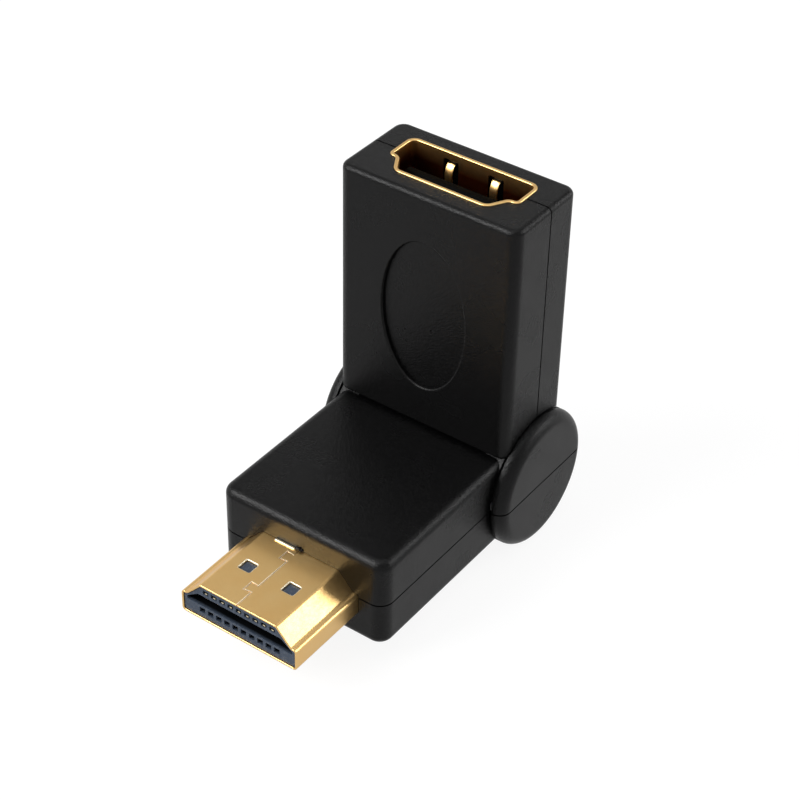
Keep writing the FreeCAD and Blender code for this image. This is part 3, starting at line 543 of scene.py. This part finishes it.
board_front, board_overlap = rear_of_plug + 0.6, 1.96
blade_sheet = 0.15
for row, (count, level), slot_face, set_back, blade_width in (
        ("upper", upper_row, slot_roof, 0.06, 0.28), ("lower", lower_row, slot_floor, 1.4, 0.4)):
    outward = math.copysign(1, level)
    bowed, tail = slot_face + outward * 0.03, outward * 0.475
    tip = level - 0.1 if row == "upper" else level
    line = [(insert_front + set_back, tip), (insert_front + 0.5, tip), (insert_front + 3.0, bowed),
            (insert_front + 4.1, bowed), (insert_front + 6.8, level), (rear_of_plug + fit, level),
            (board_front - fit, tail), (board_front + board_overlap, tail)]
    blades = [bent_strip(line, i - (count - 1) / 2, blade_width, (0, 0, blade_sheet))
              for i in range(count)]
    piece(gathered(blades), f"plug_blades_{row}", contact_gold, "plug_half", "contact",
          f"plug_contacts_{row}")

# Plug shell: thin steel sheet, folded round the insert with its seam on top, where two tabs lock it,
# then barrel-plated in gold. Two square latch holes lie on the top and on the bottom, and a pressed bar
# on one side of the seam stops the shell at the housing.
shell = combined(plug_prism(0, front_of_plug, rear_of_plug), "DIFFERENCE",
                 [plug_prism(-plug_sheet, front_of_plug - 1, rear_of_plug + 1)])
wing_start, wing_length, wing_half_thick, wing_root, wing_tip = -23.9, 1.5, 0.15, 6.8, 8.25
for side in (-1, 1):
    low, high = sorted((side * wing_root, side * wing_tip))
    wing = brick((low, wing_start, -wing_half_thick),
                 (high, wing_start + wing_length, wing_half_thick))
    shell = combined(shell, "UNION", [wing])
latch_x, latch_y, latch_half = 2.6, front_of_plug + 4.8, 0.68
latch_cuts = []
for x in (-latch_x, latch_x):
    hole = brick((x - latch_half, latch_y - latch_half, -4), (x + latch_half, latch_y + latch_half, 4))
    latch_cuts.append(rounded(hole, 0.14, 3, lambda along, middle: abs(along.z) > 0.99))
seam_x, seam_width = -0.1, 0.045
tab_start, tab_pitch, tab_length, tab_width, tab_flare = 2.15, 5.35, 1.1, 0.85, 0.08
seam_line = [(seam_x, front_of_plug - 1)]
for i in range(2):
    start = front_of_plug + tab_start + tab_pitch * i
    end = start + tab_length
    seam_line += [(seam_x, start), (seam_x - tab_width, start - tab_flare),
                  (seam_x - tab_width, end + tab_flare), (seam_x, end)]
seam_line.append((seam_x, rear_of_plug + 1))
seam = bmesh.new()
seam_verts = [seam.verts.new((x, y, 1.6)) for x, y in seam_line]
seam_edges = [seam.edges.new(pair) for pair in zip(seam_verts, seam_verts[1:])]
wall = bmesh.ops.extrude_edge_only(seam, edges=seam_edges)["geom"]
bmesh.ops.translate(seam, vec=(0, 0, 2),
                    verts=[part for part in wall if isinstance(part, bmesh.types.BMVert)])
bmesh.ops.solidify(seam, geom=seam.faces[:], thickness=seam_width)
bmesh.ops.recalc_face_normals(seam, faces=seam.faces)
shell = combined(shell, "DIFFERENCE", latch_cuts)
top_level, seam_end = 2.2, -25.5
# The bevels of the latch holes and of the seam take material slot 1, a cream-pale gold that is a painted
# highlight.
shell = softened(shell, 0.1, 3, lambda middle: abs(middle.z) > top_level
                 and abs(middle.y - latch_y) < 1.75, 1)
shell = combined(shell, "DIFFERENCE", [seam])
shell = softened(shell, 0.065, 2, lambda middle: middle.z > top_level
                 and abs(middle.x + 0.5) < 0.6 and middle.y < seam_end, 1)
shell = softened(shell, 0.08, 3, lambda middle: middle.y < front_of_plug + 0.001)
gold_finish = ((0.97, 0.6, 0.22), (1.0, 0.69, 0.3), (0.29, 0.36), 0.000001)
gold_plate = plated_metal("gold_plate", *gold_finish)
folded = piece(shell, "plug_shell_folded", gold_plate, "plug_half", "gold_plate", "plug_shell")
# Painted highlight: a cream-pale gold for the bevelled edges of the latch holes and the seam, and for
# the stop bar.
painted_highlight_gold = plated_metal(
    "pale_gold_painted_highlight", (1.0, 0.86, 0.6), (1.0, 0.94, 0.76), (0.4, 0.5), 0.000001)
folded.data.materials.append(painted_highlight_gold)
# The stop bar takes the same cream-pale gold, a painted highlight.
stop_bar = rounded(brick((-2.95, -25.4, 2.1), (-0.5, -25.08, 2.36)), 0.1, 3,
                   lambda along, middle: middle.z > top_level)
piece(stop_bar, "plug_stop_bar", painted_highlight_gold, "plug_half", "gold_plate")

# Circuit boards: green glass-epoxy, one behind the plug and one below the socket. Each is held between
# the two shells of its housing, and the contacts straddle its edge.
board_green = moulded_plastic(
    "board_green_mask", (0.012, 0.085, 0.04), (0.02, 0.14, 0.07), (0.25, 0.4), 0.5, 2500.0, 0.00002)
dress(board_green, "plug_board", "socket_board")

# Wires: bundles of fine insulated wire, soldered to both boards, that pass through the hollow pivots
# and twist on the hinge axis.
wire_skin = moulded_plastic(
    "wire_insulation", (0.3, 0.3, 0.31), (0.6, 0.6, 0.6), (0.35, 0.5), 0.5, 3000.0, 0.00006)
dress(wire_skin, "wires_plug_side_left", "wires_plug_side_right",
      "wires_socket_side_left", "wires_socket_side_right")

# Hinge springs and bushes: a coned spring-steel washer in each ear gives the hinge its friction, and a
# turned brass bush with a flange carries the barrel in the ear.
spring_steel = plated_metal("spring_steel", (0.45, 0.45, 0.46), (0.6, 0.6, 0.6), (0.2, 0.35), 0.000004)
dress(spring_steel, "disc_spring_left", "disc_spring_right")
turned_brass = plated_metal("turned_brass", (0.7, 0.5, 0.22), (0.85, 0.65, 0.32), (0.18, 0.32), 0.000004)
dress(turned_brass, "pivot_bush_left", "pivot_bush_right")

# Housings: black resin, injection moulded in two shells for each half, which meet in a fine groove. The
# moulds were spark-eroded, so the skin is satin with an even grain.
black_resin = moulded_plastic(
    "black_resin", (0.001, 0.001, 0.0011), (0.005, 0.005, 0.0052), (0.2, 0.3), 0.2, 8000.0, 0.00005)
groove_half, groove_depth = 0.08, 0.35
plug_half_width, plug_front, plug_corner = 9.95, -25.1, 1.55
ear_radius, ear_face, ear_edge = 7.45, 11.65, 1.3
socket_half_width, socket_top, socket_edge, relief_radius = 10.3, 32.2, 0.6, 7.65


def moulded_shell(node):
    """A copy of a shell from the frame, merged and in millimetres about the hinge."""
    copy = bmesh.new()
    copy.from_mesh(frame["nodes"][node].data)
    bmesh.ops.translate(copy, vec=-hinge, verts=copy.verts)
    bmesh.ops.scale(copy, vec=(1000.0, 1000.0, 1000.0), verts=copy.verts)
    bmesh.ops.remove_doubles(copy, verts=copy.verts, dist=0.002)
    return copy


def round_bar(radius, start, end):
    """A round bar along the hinge axis."""
    bar = bmesh.new()
    bmesh.ops.create_cone(bar, cap_ends=True, segments=128, radius1=radius, radius2=radius,
                          depth=end - start)
    bmesh.ops.rotate(bar, matrix=Matrix.Rotation(math.pi / 2, 3, "Y"), verts=bar.verts)
    bmesh.ops.translate(bar, vec=((start + end) / 2, 0, 0), verts=bar.verts)
    return bar


def plug_groove():
    """What is cut away where the plug half's two shells meet."""
    cut = brick((-14, -27, -groove_half), (14, 10, groove_half))
    for low, high, corner in (
            ((-plug_half_width, plug_front), (plug_half_width, 20), plug_corner),
            ((-ear_face, -ear_radius), (ear_face, ear_radius), ear_edge)):
        core = brick((low[0] + groove_depth, low[1] + groove_depth, -1),
                     (high[0] - groove_depth, high[1] - groove_depth, 1))
        core = rounded(core, corner - groove_depth, 6, lambda along, middle: abs(along.z) > 0.99)
        cut = combined(cut, "DIFFERENCE", [core])
    return cut


def ear_groove(side):
    """The deep corner between the plug half's flank and its ear."""
    start, end = sorted((side * (plug_half_width + 0.02), side * (plug_half_width + 0.3)))
    return combined(round_bar(ear_radius + 1, start, end), "DIFFERENCE",
                    [round_bar(ear_radius - 0.35, start - 1, end + 1)])


def socket_groove():
    """What is cut away where the socket half's two shells meet."""
    cut = brick((-14, -groove_half, 4), (14, groove_half, 34))
    core = brick((-socket_half_width + groove_depth, -1, relief_radius + groove_depth),
                 (socket_half_width - groove_depth, 1, socket_top - groove_depth))
    core = rounded(core, socket_edge - groove_depth, 4, lambda along, middle: abs(along.y) > 0.99)
    cut = combined(cut, "DIFFERENCE", [core])
    return combined(cut, "DIFFERENCE", [brick((-7.2, -1, 3), (7.2, 1, 10))])


def oval_stamp():
    """The form that sinks the oval panel into the front shell, with a rounded lip."""
    oval_half_width, oval_half_height, oval_level = 4.85, 8.5, 18.55
    lip, depth, front = 0.22, 0.4, -5.65
    profile = [(lip, -1.0)]
    for i in range(7):
        turn = math.radians(15 * i)
        profile.append((lip * (1 - math.sin(turn)), lip * (1 - math.cos(turn))))
    profile.append((0.0, depth))
    stamp = bmesh.new()
    rings = []
    for spread, sunk in profile:
        ring = []
        for i in range(128):
            turn = 2 * math.pi * i / 128
            x, z = oval_half_width * math.cos(turn), oval_half_height * math.sin(turn)
            out = Vector((x / oval_half_width ** 2, 0, z / oval_half_height ** 2)).normalized()
            ring.append(stamp.verts.new(Vector((x, front + sunk, oval_level + z)) + spread * out))
        rings.append(ring)
    for ring, deeper in zip(rings, rings[1:]):
        for i in range(128):
            stamp.faces.new((ring[i - 1], ring[i], deeper[i], deeper[i - 1]))
    stamp.faces.new(rings[0])
    stamp.faces.new(rings[-1])
    bmesh.ops.recalc_face_normals(stamp, faces=stamp.faces)
    return stamp


for node in ("plug_housing_top", "plug_housing_bottom"):
    moulding = combined(moulded_shell(node), "DIFFERENCE", [plug_groove()])
    for side in (-1, 1):
        moulding = combined(moulding, "DIFFERENCE", [ear_groove(side)])
    piece(moulding, f"{node}_moulded", black_resin, "plug_half", "housing", node)
for node in ("socket_housing_front", "socket_housing_rear"):
    moulding = combined(moulded_shell(node), "DIFFERENCE", [socket_groove()])
    if node == "socket_housing_front":
        moulding = combined(moulding, "DIFFERENCE", [oval_stamp()])
    piece(moulding, f"{node}_moulded", black_resin, "socket_half", "housing", node)
bead = bmesh.new()
bmesh.ops.create_icosphere(bead, subdivisions=4, radius=1.0)
bead_place, bead_half = (-0.06, -25.12, 2.4), (0.44, 0.2, 0.2)
for vert in bead.verts:
    swell = 1 + 0.12 * math.sin(7 * vert.co.x + 2 * vert.co.z) + 0.08 * math.cos(9 * vert.co.z)
    vert.co = Vector(size * share for size, share in zip(bead_half, vert.co)) * swell
bmesh.ops.translate(bead, vec=bead_place, verts=bead.verts)
piece(bead, "resin_bead_at_seam", black_resin, "plug_half", "housing")

# Socket tongue: a black nylon moulding round the flat contacts. It sits in the socket's shell and hardly
# shows in the dark opening.
black_nylon = moulded_plastic(
    "black_nylon", (0.0006, 0.0006, 0.0006), (0.002, 0.002, 0.002), (0.5, 0.6), 0.03, 4200.0, 0.00002)
dress(black_nylon, "socket_tongue")

# Socket shell: steel sheet drawn into a tube, plated in gold, with its rim rounded over and two spring
# fingers in the back wall and two in the front, cut free in their windows and bent into the opening.
socket_sizes = (14.2, 5.4, 10.2, 0.6, 0.8, (0.65, 0.26, 1.0, 0.75))
socket_sheet = 0.3
socket_centre, half_opening = -0.45, socket_sizes[1] / 2
mouth, socket_rear = 32.3, 20.8
rim_height, rim_spread, rim_round = 0.12, 0.08, 0.11


def socket_prism(spread, low, high):
    """A solid of the socket's section between two heights, narrow side to the front."""
    mesh = connector_prism(socket_sizes, spread, high - low)
    bmesh.ops.rotate(mesh, matrix=Matrix.Rotation(math.pi, 3, "X"), verts=mesh.verts)
    bmesh.ops.translate(mesh, vec=(0, socket_centre, high), verts=mesh.verts)
    return mesh


rim = combined(socket_prism(socket_sheet + rim_spread, mouth - rim_height, mouth), "DIFFERENCE",
               [socket_prism(0, socket_rear - 1, mouth + 1)])
rim = softened(rim, rim_round, 4, lambda middle: middle.z > mouth - 0.001)
tube = combined(socket_prism(socket_sheet, socket_rear, mouth - rim_height), "DIFFERENCE",
                [socket_prism(0, socket_rear - 1, mouth + 1)])
window_top, window_length, window_half = mouth - 0.8, 4.6, 0.875
finger_x, finger_width, finger_sheet, finger_bend = 2.6, 0.86, 0.2, 0.5
finger_tip, finger_root = window_top - 0.42, window_top - window_length - 0.1
tip_radius, tip_turn = 1.5, math.radians(50)
crest = finger_tip - tip_radius * math.sin(tip_turn)
windows, fingers = [], []
for wall, inward in ((socket_centre + half_opening, -1), (socket_centre - half_opening, 1)):
    middle = wall - inward * socket_sheet / 2
    line = []
    for i in range(13):
        share = i / 12
        line.append((middle + inward * finger_bend * (3 - 2 * share) * share ** 2,
                     finger_root + share * (crest - finger_root)))
    for i in range(1, 13):
        turn = tip_turn * i / 12
        line.append((middle + inward * (finger_bend - tip_radius * (1 - math.cos(turn))),
                     crest + tip_radius * math.sin(turn)))
    for x in (-finger_x, finger_x):
        near, far = sorted((wall + inward * 0.3, wall - inward * 0.6))
        window = brick((x - window_half, near, window_top - window_length),
                       (x + window_half, far, window_top))
        windows.append(rounded(window, 0.15, 3, lambda along, middle: abs(along.y) > 0.99))
        fingers.append(bent_strip(line, x, finger_width, (0, finger_sheet, 0)))
tube = combined(tube, "DIFFERENCE", windows)
tube = softened(tube, 0.04, 2, lambda middle: middle.z < window_top + 0.1
                and abs(abs(middle.y - socket_centre) - half_opening) < 0.02)
socket_gold = plated_metal("gold_plate_in_shade", *gold_finish)
# Painted shade: the gold inside the socket turns deep red-brown from just below the rim to 2 mm down the
# opening.
painted_depth_shade(socket_gold, (0.22, 0.045, 0.009), ("Z", mouth - 0.15, mouth - 2.0))
piece(gathered([tube, rim]), "socket_shell_drawn", socket_gold, "socket_half", "gold_plate",
      "socket_shell")
piece(gathered(fingers), "socket_spring_fingers", gold_plate, "socket_half", "gold_plate")

bpy.context.scene.view_settings.view_transform = "Standard"
